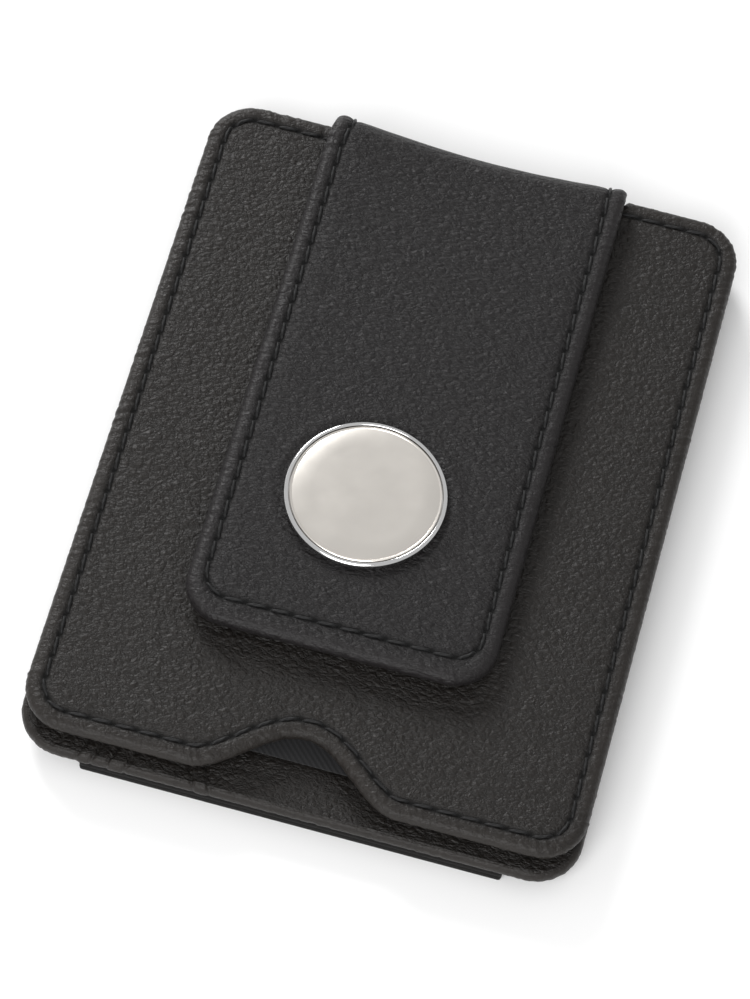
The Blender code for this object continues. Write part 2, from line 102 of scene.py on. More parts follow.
# The flap in flat coordinates: x across, u along the strap from its free end.
FLAP_END = COVER_LOW.y
FLAP_LEFT, FLAP_RIGHT = COVER_LOW.x, COVER_HIGH.x
FLAP_X = (FLAP_LEFT + FLAP_RIGHT) / 2
FLAP_HALF = (FLAP_RIGHT - FLAP_LEFT) / 2
DIP_LEFT, DIP_RIGHT = FLAP_LEFT + 0.25 * MM, FLAP_RIGHT + 0.35 * MM     # the front's dip under the fold
DIP_DEPTH = 2.3 * MM
DIP_EASE = 2.0 * MM
FLAP_CORNER = 6.0 * MM
FLAP_FACE = COVER_HIGH.z
FLAP_BACK = LINING_HIGH.z - 0.4 * MM
STRAP_MIDDLE = (COVER_LOW.z + COVER_HIGH.z) / 2     # the strap's middle layer on the flap
BEND_Z = 8.125 * MM
MID_RADIUS = STRAP_MIDDLE - BEND_Z
BEND_Y = FOLD_HIGH.y - MID_RADIUS - 0.4 * MM
STRAP_HALF = 0.6 * MM
FLAT_LENGTH = BEND_Y - FLAP_END
CREST_U = FLAT_LENGTH + MID_RADIUS * math.pi / 2
ROOT_U = FLAT_LENGTH + MID_RADIUS * math.pi
STRAP_LENGTH = ROOT_U + 7.0 * MM
WAIST = 0.75 * MM                           # drawn in on the left where the strap turns over
RIGHT_WAIST = 0.2                           # share of it on the right
SADDLE_X = 2.0 * MM
SADDLE_HALF = 20.0 * MM
SADDLE_DIP = 0.45 * MM
SADDLE_RISE = 1.2 * MM
SADDLE_WAY = Vector((0, 0.875, 0.48))

DISC = Vector(((BEZEL_LOW.x + BEZEL_HIGH.x) / 2, (BEZEL_LOW.y + BEZEL_HIGH.y) / 2, BEZEL_LOW.z))
DISC_RADIUS = (BEZEL_HIGH.x - BEZEL_LOW.x) / 2
DISC_SEAT = FLAP_FACE + 0.12 * MM
DISC_GROOVE = BEZEL_LOW.z + 0.45 * MM               # where the plate and the rim meet
RIM_WALL = 0.62 * MM


# Flat outlines: counter-clockwise arrays of points.

def arc(x, y, radius, start, end, steps=12):
    angles = np.radians(np.linspace(start, end, steps + 1))
    return [(x + radius * math.cos(a), y + radius * math.sin(a)) for a in angles]


def rounded_box(left, bottom, right, top, radii):
    """Corner radii run from the lower left, counter-clockwise."""
    a, b, c, d = radii
    points = arc(left + a, bottom + a, a, 180, 270)
    points += arc(right - b, bottom + b, b, 270, 360)
    points += arc(right - c, top - c, c, 0, 90)
    points += arc(left + d, top - d, d, 90, 180)
    return points


def bell(x, centre, half, depth):
    offset = np.clip(np.abs((np.asarray(x) - centre) / half), 0, 1)
    return depth * 0.5 * (1 + np.cos(np.pi * offset))


def smooth(value, low, high):
    t = np.clip((np.asarray(value) - low) / (high - low), 0, 1)
    return t * t * (3 - 2 * t)


def front_outline(hem=0.0, tuck=0.0):
    """The front panel: a thumb notch below, and a shallow dip in the top edge under the fold.

    For the seam, hem lifts the straight parts of the lower edge and tuck narrows the dip.
    """
    edge = FRONT_EDGE + hem
    points = arc(LEFT + CORNER, edge + CORNER, CORNER, 180, 270)
    for x in np.linspace(NOTCH_X - NOTCH_HALF, NOTCH_X + NOTCH_HALF, 60):
        rise = float(bell(x, NOTCH_X, NOTCH_HALF, NOTCH_DEPTH - hem))
        points.append((x, edge + rise))
    points += arc(RIGHT - CORNER, edge + CORNER, CORNER, 270, 360)
    points += arc(RIGHT - CORNER, TOP - CORNER, CORNER, 0, 90)
    right, left = DIP_RIGHT - tuck, DIP_LEFT + tuck
    for x in np.linspace(right, left, 90):
        inside = smooth(right - x, 0.0, DIP_EASE) * smooth(x - left, 0.0, DIP_EASE)
        points.append((x, TOP - DIP_DEPTH * float(inside)))
    points += arc(LEFT + CORNER, TOP - CORNER, CORNER, 90, 180)
    return points


def rear_outline():
    """The rear panel; its turned hem stands a little proud of the back pocket at the lower edge."""
    return rounded_box(LEFT, BOTTOM - REAR_HEM, RIGHT, TOP, [CORNER] * 4)


def pocket_outline(inset=0.0):
    """The rear pocket with its notched top edge."""
    left, right = POCKET_LOW.x + inset, POCKET_HIGH.x - inset
    low, high = POCKET_LOW.y + inset, POCKET_HIGH.y - inset
    radius = 0.4 * MM
    points = arc(left + radius, low + radius, radius, 180, 270)
    points += arc(right - radius, low + radius, radius, 270, 360)
    points += arc(right - radius, high - radius, radius, 0, 90)
    for x in np.linspace(POCKET_NOTCH_HALF, -POCKET_NOTCH_HALF, 50):
        points.append((x, high - float(bell(x, 0.0, POCKET_NOTCH_HALF, POCKET_NOTCH_DEPTH))))
    points += arc(left + radius, high - radius, radius, 90, 180)
    return points


def strap_outline(inset=0.0, length=STRAP_LENGTH, hem=0.0):
    """The strap from its free end; hem lifts the lower edge, for the seam along it."""
    radius = FLAP_CORNER - inset
    small = 1.3 * MM
    points = arc(FLAP_LEFT + inset + radius, hem + inset + radius, radius, 180, 270)
    points += arc(FLAP_RIGHT - inset - radius, hem + inset + radius, radius, 270, 360)
    steps = np.linspace(hem + inset + radius, length - small, 60)
    points += [(FLAP_RIGHT - inset - RIGHT_WAIST * waist(u), u) for u in steps]
    points += arc(FLAP_RIGHT - inset - small - RIGHT_WAIST * waist(length), length - small, small, 0, 90, 5)
    points += arc(FLAP_LEFT + inset + small + waist(length), length - small, small, 90, 180, 5)
    points += [(FLAP_LEFT + inset + waist(u), u) for u in steps[::-1]]
    return points


def waist(u):
    """The strap is drawn in a little where it turns over."""
    return WAIST * float(smooth(u, CREST_U - 7.0 * MM, CREST_U - 0.5 * MM))


def resample(points, spacing, closed=True):
    points = np.array(points, float)
    if closed:
        points = np.vstack([points, points[:1]])
    steps = np.linalg.norm(np.diff(points, axis=0), axis=1)
    keep = np.concatenate([[True], steps > 1e-9])
    points = points[keep]
    length = np.concatenate([[0], np.cumsum(np.linalg.norm(np.diff(points, axis=0), axis=1))])
    count = max(4, int(round(length[-1] / spacing)))
    at = np.linspace(0, length[-1], count + 1)
    line = np.stack([np.interp(at, length, points[:, k]) for k in range(points.shape[1])], 1)
    return line[:-1] if closed else line


def inward(points):
    along = np.roll(points, -1, axis=0) - np.roll(points, 1, axis=0)
    along /= np.linalg.norm(along, axis=1)[:, None]
    return np.stack([-along[:, 1], along[:, 0]], 1)


def tree_of(points):
    tree = kdtree.KDTree(len(points))
    for index, point in enumerate(points):
        tree.insert((point[0], point[1], 0.0), index)
    tree.balance()
    return tree


def distances(tree, points):
    return np.array([tree.find((p[0], p[1], 0.0))[2] for p in points])


def ripple(points, scale, seed=0.0, stretch=(1.0, 1.0)):
    """Smooth noise from -1 to 1 over flat points; scale is the size of its bumps."""
    sx, sy = stretch[0] / scale, stretch[1] / scale
    return np.array([noise.noise((p[0] * sx + seed, p[1] * sy - seed, seed * 0.7)) for p in points])


# Stitches.

class Seam:
    """A line of stitches along a flat path."""

    def __init__(self, path, closed):
        self.line = resample(path, SEAM_STEP, closed)
        if closed:
            self.line = np.vstack([self.line, self.line[:1]])
        steps = np.linalg.norm(np.diff(self.line, axis=0), axis=1)
        self.length = np.concatenate([[0], np.cumsum(steps)])
        total = self.length[-1]
        count = int(round(total / PITCH))
        self.pitch = total / count
        self.starts = [k * self.pitch for k in range(count)]
        self.holes = np.array([self.at(s) for s in self.starts])
        self.tree = tree_of(self.line)
        self.hole_tree = tree_of(self.holes)

    def mask(self, points):
        """Painted shade in the seam's groove and at its stitch holes, from 0 to 1."""
        apart = distances(self.tree, points)
        near = distances(self.hole_tree, points)
        return np.clip(0.75 * np.exp(-(apart / SEAM_SHADE_WIDTH) ** 2) + np.exp(-(near / HOLE_SHADE_WIDTH) ** 2), 0, 1)

    def at(self, distance):
        distance = min(max(distance, 0.0), self.length[-1])
        return [float(np.interp(distance, self.length, self.line[:, k])) for k in (0, 1)]


def inset_path(outline, inset, spacing=0.25 * MM):
    """The outline moved inwards, with the parts that would cross themselves dropped."""
    loop = resample(outline, spacing)
    moved = loop + inward(loop) * inset
    clear = distances(tree_of(loop), moved) > inset * 0.985
    return moved[clear]


def thread_mesh(name, seam, height, place, material, lean=0.12 * MM, keep=None, seed=1.0):
    """Each stitch is a short twisted two-ply thread that dives into the leather at both ends."""
    rings, sides = 13, 10
    verts, faces = [], []
    for number, start in enumerate(seam.starts):
        middle = start + seam.pitch / 2
        if keep and not keep(seam.at(middle)):
            continue
        jitter = noise.noise((number * 1.7, seed, 0.3))
        half = STITCH / 2 * (1 + 0.05 * jitter)
        base = len(verts)
        for ring in range(rings):
            t = 2 * ring / (rings - 1) - 1
            x, y = seam.at(middle + t * half)
            nx, ny = seam.at(middle + t * half + 0.2 * MM)
            ahead = Vector((nx - x, ny - y, 0))
            ahead = ahead.normalized() if ahead.length > 1e-9 else Vector((1, 0, 0))
            aside = Vector((-ahead.y, ahead.x, 0))
            arch = (1 - t ** 4) ** 0.7
            lift = height(x, y) - THREAD_SINK + arch * THREAD_ARCH * (1 + 0.08 * jitter)
            centre = Vector((x, y, lift)) + aside * (lean * t * (1 + 0.4 * jitter))
            radius = THREAD * (0.72 + 0.28 * arch)
            for side in range(sides):
                angle = 2 * math.pi * side / sides
                ply = 1 + PLY_DEPTH * math.cos(2 * angle + t * PLY_TWIST)
                out = aside * math.cos(angle) + Vector((0, 0, 1)) * math.sin(angle)
                verts.append(place(centre + out * radius * ply))
        for ring in range(rings - 1):
            for side in range(sides):
                a = base + ring * sides + side
                b = base + ring * sides + (side + 1) % sides
                faces.append((a, b, b + sides, a + sides))
        faces.append(tuple(base + side for side in range(sides))[::-1])
        faces.append(tuple(base + (rings - 1) * sides + side for side in range(sides)))
    mesh = bpy.data.meshes.new(name)
    mesh.from_pydata([tuple(v) for v in verts], [], faces)
    return finish_mesh(mesh, material, angle=60)


# Panels.

def finish_mesh(mesh, material, angle=180):
    shape = bmesh.new()
    shape.from_mesh(mesh)
    bmesh.ops.recalc_face_normals(shape, faces=shape.faces)
    shape.to_mesh(mesh)
    shape.free()
    mesh.shade_smooth()
    if angle < 180:
        mesh.set_sharp_from_angle(angle=math.radians(angle))
    mesh.materials.append(material)
    item = bpy.data.objects.new(mesh.name, mesh)
    bpy.context.scene.collection.objects.link(item)
    return item


def grid_points(low, high, spacing):
    """Points in rows, every other row moved by half a step."""
    rows = []
    step = spacing * math.sqrt(0.75)
    count = int((high[1] - low[1]) / step) + 1
    for row in range(count):
        y = low[1] + row * step
        xs = np.arange(low[0] + (spacing / 2 if row % 2 else 0), high[0], spacing)
        rows.append(np.stack([xs, np.full(len(xs), y)], 1))
    return np.vstack(rows)


def fill(boundary, edge_tree, edge, bands):
    """Triangles that fill a loop. bands gives (distance from the edge, spacing) from fine to coarse."""
    low, high = boundary.min(0), boundary.max(0)
    chosen = []
    inner = edge
    for reach, spacing in bands:
        points = grid_points(low, high, spacing)
        away = distances(edge_tree, points)
        margin = edge + 0.45 * bands[0][1] if inner == edge else inner
        chosen.append(points[(away > margin) & (away <= reach)])
        inner = reach
    extra = np.vstack(chosen)
    count = len(boundary)
    points = [Vector(p) for p in np.vstack([boundary, extra])]
    edges = [(k, (k + 1) % count) for k in range(count)]
    result = geometry.delaunay_2d_cdt(points, edges, [], 1, 1e-7)
    flat = np.array([tuple(p) for p in result[0]])
    order = {}
    for new, old in enumerate(result[3]):
        for index in old:
            order[index] = new
    return flat, [tuple(face) for face in result[2]], [order[k] for k in range(count)]


def panel(name, outline, low, high, edge, material, relief=None, back_relief=None, bands=None,
          back_bands=None, gather=None, seam=None, steps=10, place=None, spacing=0.3 * MM, cut=0.0):
    """A closed leather or cloth panel with a rolled edge.

    low and high are heights or functions of flat points; relief(points, distance) is added to
    the face; gather(points, along, run, turn) is added outwards on the rolled edge and the sewn border.
    cut is how dark the rolled edge is made.
    """
    loop = resample(outline, spacing)
    normal = inward(loop)
    tree = tree_of(loop)
    low_of = low if callable(low) else lambda p: np.full(len(p), low)
    high_of = high if callable(high) else lambda p: np.full(len(p), high)
    bands = bands or [(4.6 * MM, spacing), (1.0, 1.0 * MM)]
    back_bands = back_bands or [(1.0, 1.6 * MM)]
    verts, faces, wear, sewn = [], [], [], []
    count = len(loop)
    arc_at = np.arange(count) * np.linalg.norm(loop[1] - loop[0])
    bend = np.linalg.norm(np.roll(normal, -6, axis=0) - np.roll(normal, 6, axis=0), axis=1)
    for step in range(steps + 1):
        angle = -math.pi / 2 + math.pi * step / steps
        flat = loop + normal * edge * (1 - math.cos(angle))
        bottom, top = low_of(flat), high_of(flat)
        z = (top + bottom) / 2 + (top - bottom) / 2 * math.sin(angle)
        away = np.full(count, edge * (1 - math.cos(angle)))
        if relief:
            z = z + relief(flat, away) * max(math.sin(angle), 0.0)
        if back_relief:
            z = z + back_relief(flat, away) * max(-math.sin(angle), 0.0)
        if gather:
            push = gather(loop, arc_at, -edge * (math.pi / 2 - angle), bend) * smooth(angle, -1.4, 0.0)
            flat = flat - normal * (push * math.cos(angle))[:, None]
            z = z + push * math.sin(angle)
        verts.extend(zip(flat[:, 0], flat[:, 1], z))
        wear.extend([0.8 + 0.2 * math.cos(angle)] * count)
        sewn.extend([cut] * count)
    for step in range(steps):
        for k in range(count):
            a, b = step * count + k, step * count + (k + 1) % count
            faces.append((a, b, b + count, a + count))
    for side, ring, spans in ((1, steps, bands), (-1, 0, back_bands)):
        boundary = np.array(verts[ring * count:(ring + 1) * count])[:, :2]
        flat, triangles, order = fill(boundary, tree, edge, spans)
        known = {new: ring * count + old for old, new in enumerate(order)}
        fresh = [k for k in range(len(flat)) if k not in known]
        near = [tree.find((p[0], p[1], 0.0)) for p in flat[fresh]]
        away = np.array([found[2] for found in near])
        index = np.array([found[1] for found in near])
        z = (high_of if side > 0 else low_of)(flat[fresh])
        if side > 0 and relief:
            z = z + relief(flat[fresh], away)
        if side > 0 and gather:
            border = 1 - smooth(away, 1.4 * MM, 3.4 * MM)
            z = z + gather(flat[fresh], arc_at[index], away - edge, bend[index]) * border
        if side < 0 and back_relief:
            z = z + back_relief(flat[fresh], away)
        # painted shade along the seam's groove and in its stitch holes, kept in the sewn attribute
        seam_shade = seam.mask(flat[fresh]) if seam and side > 0 else np.zeros(len(fresh))
        for index, k in enumerate(fresh):
            known[k] = len(verts)
            verts.append((flat[k][0], flat[k][1], z[index]))
            worn = 0.8 * (1 - float(smooth(away[index], edge, SEAM_INSET)))
            wear.append(worn if relief and side > 0 else 0.0)
            sewn.append(seam_shade[index])
        for triangle in triangles:
            ids = [known[k] for k in triangle]
            faces.append(tuple(ids if side > 0 else ids[::-1]))
    mesh = bpy.data.meshes.new(name)
    mesh.from_pydata([tuple(map(float, v)) for v in verts], [], faces)
    for label, values in (("wear", wear), ("sewn", sewn)):
        attribute = mesh.attributes.new(label, "FLOAT", "POINT")
        attribute.data.foreach_set("value", np.array(values, np.float32))
    if place:
        for vertex in mesh.vertices:
            vertex.co = place(vertex.co)
    return finish_mesh(mesh, material)


def seam_relief(seam, groove=0.24 * MM, width=0.45 * MM, rim=0.12 * MM):
    """Height of sewn leather: a groove under the thread with a hole at each end of a stitch."""
    def relief(points, away):
        apart = distances(seam.tree, points)
        near = distances(seam.hole_tree, points)
        dip = -groove * np.exp(-(apart / width) ** 2)
        border = rim * np.sin(np.pi * np.clip(away / SEAM_INSET, 0, 1))
        return dip + border - HOLE_DEPTH * np.exp(-(near / HOLE_WIDTH) ** 2)

    return relief


def gathers(seed, amount=0.13 * MM):
    """Small creases across a turned edge, deepest round the corners."""
    def gather(points, along, run, turn):
        along = along + 0.35 * run
        sharp = np.array([noise.noise((s / (0.90 * MM), seed, 0.0)) for s in along])
        fine = np.array([noise.noise((s / (0.52 * MM), seed + 3.0, 0.0)) for s in along])
        wide = np.array([noise.noise((s / (6.0 * MM), seed + 5.0, 0.0)) for s in along])
        share = np.clip(0.65 + 1.1 * wide, 0.2, 1.2) + 0.7 * np.clip(turn, 0, 0.5)
        return amount * (sharp + 0.8 * fine) * share
    return gather


# Materials.

class Nodes:
    """Short calls for a material's node tree."""

    def __init__(self, name):
        self.material = bpy.data.materials.new(name)
        self.material.use_nodes = True
        self.tree = self.material.node_tree
        self.shader = self.tree.nodes["Principled BSDF"]

    def add(self, kind, **settings):
        node = self.tree.nodes.new(kind)
        for key, value in settings.items():
            setattr(node, key, value)
        return node

    def link(self, source, target):
        """Joins an output to a socket, or gives the socket a number or a color."""
        if isinstance(source, (int, float)):
            target.default_value = source
        elif isinstance(source, tuple):
            target.default_value = (*source, 1.0)
        else:
            self.tree.links.new(source, target)

    def set(self, name, value):
        self.shader.inputs[name].default_value = value

    def place(self, scale, turn=0.0, distort=0.0):
        coordinates = self.add("ShaderNodeTexCoord")
        mapping = self.add("ShaderNodeMapping")
        mapping.inputs["Scale"].default_value = scale
        mapping.inputs["Rotation"].default_value = (0, 0, turn)
        self.link(coordinates.outputs["Object"], mapping.inputs["Vector"])
        if not distort:
            return mapping.outputs["Vector"]
        wobble = self.add("ShaderNodeTexNoise")
        wobble.inputs["Scale"].default_value = 0.6
        wobble.inputs["Detail"].default_value = 2.0
        self.link(mapping.outputs["Vector"], wobble.inputs["Vector"])
        moved = self.add("ShaderNodeVectorMath", operation="MULTIPLY_ADD")
        self.link(wobble.outputs["Color"], moved.inputs[0])
        moved.inputs[1].default_value = (distort,) * 3
        self.link(mapping.outputs["Vector"], moved.inputs[2])
        return moved.outputs["Vector"]

    def sized(self, size, turn=0.0, distort=0.0):
        """Coordinates that grow by one over size millimetres; size may differ along x, y and z."""
        sizes = size if isinstance(size, tuple) else (size,) * 3
        return self.place(tuple(1 / (s * MM) for s in sizes), turn, distort)

    def noise(self, vector, detail=4.0, rough=0.55):
        node = self.add("ShaderNodeTexNoise")
        node.inputs["Scale"].default_value = 1.0
        node.inputs["Detail"].default_value = detail
        node.inputs["Roughness"].default_value = rough
        self.link(vector, node.inputs["Vector"])
        return node.outputs["Fac"]

    def math(self, operation, a, b, clamp=False):
        node = self.add("ShaderNodeMath", operation=operation, use_clamp=clamp)
        self.link(a, node.inputs[0])
        self.link(b, node.inputs[1])
        return node.outputs["Value"]

    def range(self, value, low, high):
        node = self.add("ShaderNodeMapRange")
        node.inputs["To Min"].default_value = low
        node.inputs["To Max"].default_value = high
        self.link(value, node.inputs["Value"])
        return node.outputs["Result"]

    def mix(self, factor, a, b):
        node = self.add("ShaderNodeMix", data_type="RGBA")
        self.link(factor, node.inputs["Factor"])
        self.link(a, node.inputs["A"])
        self.link(b, node.inputs["B"])
        return node.outputs["Result"]

    def bump(self, height, distance, strength=1.0, after=None):
        node = self.add("ShaderNodeBump")
        node.inputs["Strength"].default_value = strength
        node.inputs["Distance"].default_value = distance
        self.link(height, node.inputs["Height"])
        if after:
            self.link(after, node.inputs["Normal"])
        return node.outputs["Normal"]


def leather(name, color, tint, cell, lines, depth, rough, specular):
    """Calf leather: scale-like cells with dark creases, long soft wrinkles and fine pores.

    cell is the size of a scale and lines the size of the wrinkles, in millimetres; depth is how
    deep the grain is, and rough the lowest and highest roughness.
    """
    n = Nodes(name)
    place = n.sized(cell, turn=0.12, distort=0.8)
    cells = n.add("ShaderNodeTexVoronoi", feature="SMOOTH_F1")
    cells.inputs["Smoothness"].default_value = 0.4
    edges = n.add("ShaderNodeTexVoronoi", feature="DISTANCE_TO_EDGE")
    for node in (cells, edges):
        node.inputs["Scale"].default_value = 1.0
        n.link(place, node.inputs["Vector"])
    dome = n.range(cells.outputs["Distance"], 1.0, 0.0)
    crease = n.math("POWER", n.math("MULTIPLY", edges.outputs["Distance"], 2.4, clamp=True), 0.5)
    fine = n.noise(n.sized(0.26), detail=3.0)
    wide = n.noise(n.sized(8.0), detail=3.0)
    wrinkle = n.noise(n.sized(lines, turn=0.10, distort=0.7), detail=5.0, rough=0.6)
    wear = n.add("ShaderNodeAttribute", attribute_name="wear").outputs["Fac"]
    sewn = n.add("ShaderNodeAttribute", attribute_name="sewn").outputs["Fac"]
    veins = n.noise(n.sized(tuple(c / 1.25 for c in cell), turn=-0.2, distort=1.0), detail=2.0)
    veins = n.math("ABSOLUTE", n.math("SUBTRACT", veins, 0.5), 0.0)
    veins = n.math("POWER", n.math("MULTIPLY", veins, 6.5, clamp=True), 0.55)
    grain = n.math("ADD", n.math("MULTIPLY", n.math("MULTIPLY", crease, dome), 0.65), n.math("MULTIPLY", veins, 0.35))
    dark = tuple(c * 0.50 for c in color)
    light = tuple(c * 1.40 for c in color)
    base = n.mix(grain, dark, light)
    base = n.mix(n.math("MULTIPLY", wide, 0.5), base, tint)
    worn = tuple(c * 1.7 + 0.003 for c in tint)
    base = n.mix(n.math("MULTIPLY", n.math("MULTIPLY", wear, wide), 0.9, clamp=True), base, worn)
    # The sewn attribute darkens the leather nearly to black: painted shade in the seam grooves and stitch holes, and
    # the back pocket's rolled edge.
    base = n.mix(n.math("MULTIPLY", sewn, 0.92), base, (0.0012, 0.0012, 0.0012))
    n.link(base, n.shader.inputs["Base Color"])
    gloss = n.math("ADD", n.math("MULTIPLY", wide, 0.55), n.math("MULTIPLY", fine, 0.45))
    gloss = n.math("ADD", n.range(gloss, *rough), n.math("MULTIPLY", sewn, 0.4))
    n.link(gloss, n.shader.inputs["Roughness"])
    n.set("Specular IOR Level", specular)
    n.set("Sheen Weight", 0.012)
    n.set("Sheen Roughness", 0.4)
    plain = n.range(wear, 1.0, 0.5)
    normal = n.bump(n.math("MULTIPLY", wrinkle, plain), depth * 1.9, 0.9)
    normal = n.bump(n.math("MULTIPLY", grain, plain), depth, 0.9, normal)
    normal = n.bump(fine, 0.022 * MM, 0.8, normal)
    n.link(normal, n.shader.inputs["Normal"])
    return n.material


def cloth(name, color, pitch=0.45):
    """A fine twill: diagonal ribs broken by the cross thread."""
    n = Nodes(name)

    def wave(direction, scale, distortion):
        node = n.add("ShaderNodeTexWave", wave_type="BANDS", bands_direction=direction)
        node.inputs["Scale"].default_value = scale
        node.inputs["Distortion"].default_value = distortion
        n.link(n.sized(pitch), node.inputs["Vector"])
        return node.outputs["Fac"]

    ribs, cross = wave("DIAGONAL", 0.31, 0.6), wave("X", 0.4, 0.4)
    weave = n.math("MULTIPLY", ribs, n.range(cross, 0.6, 1.0))
    wide = n.noise(n.sized(6.0))
    base = n.mix(weave, tuple(c * 0.6 for c in color), tuple(c * 1.5 for c in color))
    base = n.mix(n.math("MULTIPLY", wide, 0.4), base, tuple(c * 0.8 for c in color))
    n.link(base, n.shader.inputs["Base Color"])
    n.link(n.range(wide, 0.72, 0.9), n.shader.inputs["Roughness"])
    n.set("Specular IOR Level", 0.3)
    n.set("Sheen Weight", 0.2)
    n.set("Sheen Roughness", 0.5)
    n.link(n.bump(weave, 0.08 * MM, 0.8), n.shader.inputs["Normal"])
    return n.material


def waxed_thread(name, color):
    n = Nodes(name)
    fibres = n.noise(n.sized((0.12, 0.5, 0.2), turn=0.6), detail=3.0)
    wide = n.noise(n.sized(4.0))
    base = n.mix(fibres, tuple(c * 0.5 for c in color), tuple(c * 2.2 for c in color))
    n.link(base, n.shader.inputs["Base Color"])
    n.link(n.range(wide, 0.45, 0.62), n.shader.inputs["Roughness"])
    n.set("Specular IOR Level", 0.3)
    n.set("Sheen Weight", 0.05)
    n.link(n.bump(fibres, 0.05 * MM, 0.7), n.shader.inputs["Normal"])
    return n.material


def metal(name, color, rough, stretch, depth=0.004 * MM, amount=0.12, anisotropy=0.0):
    """Metal with fine lines along one way and a little uneven gloss."""
    n = Nodes(name)
    lines = n.noise(n.sized(stretch), detail=4.0, rough=0.6)
    wide = n.noise(n.sized(5.0), detail=3.0)
    dim = tuple(c * (1 - amount) for c in color)
    bright = tuple(min(1.0, c * (1 + amount * 0.4)) for c in color)
    n.link(n.mix(n.math("ADD", n.math("MULTIPLY", lines, 0.5), n.math("MULTIPLY", wide, 0.5)), dim, bright),
           n.shader.inputs["Base Color"])
    n.set("Metallic", 1.0)
    n.set("Anisotropic", anisotropy)
    n.link(n.range(wide, rough * 0.8, rough * 1.25), n.shader.inputs["Roughness"])
    n.link(n.bump(lines, depth, 0.5), n.shader.inputs["Normal"])
    return n.material


def fibre_board(name, color):
    n = Nodes(name)
    fibres = n.noise(n.sized((0.4, 1.6, 0.4), turn=0.4, distort=0.5))
    wide = n.noise(n.sized(8.0))
    base = n.mix(fibres, tuple(c * 0.75 for c in color), tuple(c * 1.2 for c in color))
    base = n.mix(n.math("MULTIPLY", wide, 0.5), base, tuple(c * 0.9 for c in color))
    n.link(base, n.shader.inputs["Base Color"])
    n.link(n.range(wide, 0.82, 0.95), n.shader.inputs["Roughness"])
    n.link(n.bump(fibres, 0.05 * MM, 0.6), n.shader.inputs["Normal"])
    return n.material


BODY_LEATHER = leather(
    "body_leather", color=(0.0082, 0.0066, 0.0055), tint=(0.0112, 0.0090, 0.0075), cell=(1.15, 0.90, 1.0),
    lines=(2.6, 1.4, 2.0), depth=0.20 * MM, rough=(0.38, 0.54), specular=0.30)
FLAP_LEATHER = leather(
    "flap_leather", color=(0.0064, 0.0053, 0.0056), tint=(0.0082, 0.0069, 0.0072), cell=(1.45, 0.80, 1.0),
    lines=(3.4, 0.9, 1.5), depth=0.24 * MM, rough=(0.38, 0.54), specular=0.28)
EDGE_LEATHER = leather(
    "pocket_leather", color=(0.0022, 0.0019, 0.0017), tint=(0.0030, 0.0026, 0.0024), cell=(0.95, 0.75, 0.9),
    lines=(3.0, 1.5, 2.0), depth=0.08 * MM, rough=(0.50, 0.66), specular=0.08)
LINING = cloth("lining_cloth", (0.012, 0.012, 0.013))
THREAD_BLACK = waxed_thread("black_thread", (0.0028, 0.0028, 0.003))
CHROME = metal("disc_chrome", (0.78, 0.78, 0.78), rough=0.09, stretch=(2.0, 2.0, 2.0), depth=0.002 * MM, amount=0.06)
SATIN = metal("disc_satin", (0.80, 0.762, 0.710), rough=0.30, stretch=(4.0, 0.05, 0.4), depth=0.002 * MM, amount=0.03)
NICKEL = metal("magnet_steel", (0.50, 0.49, 0.47), rough=0.28, stretch=(0.6, 0.6, 0.6))
SPRING = metal("spring_steel", (0.36, 0.36, 0.37), rough=0.38, stretch=(0.08, 3.0, 0.3), anisotropy=0.3)
BOARD = fibre_board("grey_board", (0.24, 0.22, 0.19))


# Placing.

def stay(point):
    return point


def turn_over(total):
    """Turns a panel over about the Y direction, so that its face becomes the back of the wallet."""
    def place(point):
        return Vector((-point.x, point.y, total - point.z))
    return place


def strap_bend(point):
    """Flat strap coordinates (x, u, z as on the flap) to the folded strap."""
    x, u = point.x, point.y
    height = point.z - STRAP_MIDDLE
    if u <= FLAT_LENGTH:
        angle = math.pi / 2
        place = Vector((x, FLAP_END + u, BEND_Z + MID_RADIUS))
    elif u >= ROOT_U:
        angle = -math.pi / 2
        place = Vector((x, BEND_Y - (u - ROOT_U), BEND_Z - MID_RADIUS))
    else:
        angle = math.pi / 2 - (u - FLAT_LENGTH) / MID_RADIUS
        place = Vector((x, BEND_Y + MID_RADIUS * math.cos(angle), BEND_Z + MID_RADIUS * math.sin(angle)))
    place += height * Vector((0, math.cos(angle), math.sin(angle)))
    return place + saddle(x, u) * SADDLE_WAY


def saddle(x, u):
    """The fold stands out at its two ends and is drawn in between them."""
    across = (x - SADDLE_X) / SADDLE_HALF
    depth = SADDLE_RISE * across * across - SADDLE_DIP
    behind = float(smooth(u, ROOT_U, CREST_U + 1.0 * MM))
    ahead = float(smooth(u, FLAT_LENGTH - 24.0 * MM, FLAT_LENGTH + 2.0 * MM))
    return depth * behind * ahead


def strap_low(points):
    """The flap's underside, thinner towards the fold."""
    thin = smooth(points[:, 1], FLAT_LENGTH - 3.2 * MM, FLAT_LENGTH + 0.2 * MM)
    return FLAP_BACK + (STRAP_MIDDLE - STRAP_HALF - FLAP_BACK) * thin


def strap_high(points):
    thin = smooth(points[:, 1], FLAT_LENGTH - 6.0 * MM, FLAT_LENGTH + 1.0 * MM)
    return FLAP_FACE + (STRAP_MIDDLE + STRAP_HALF - FLAP_FACE) * thin


# Pieces.

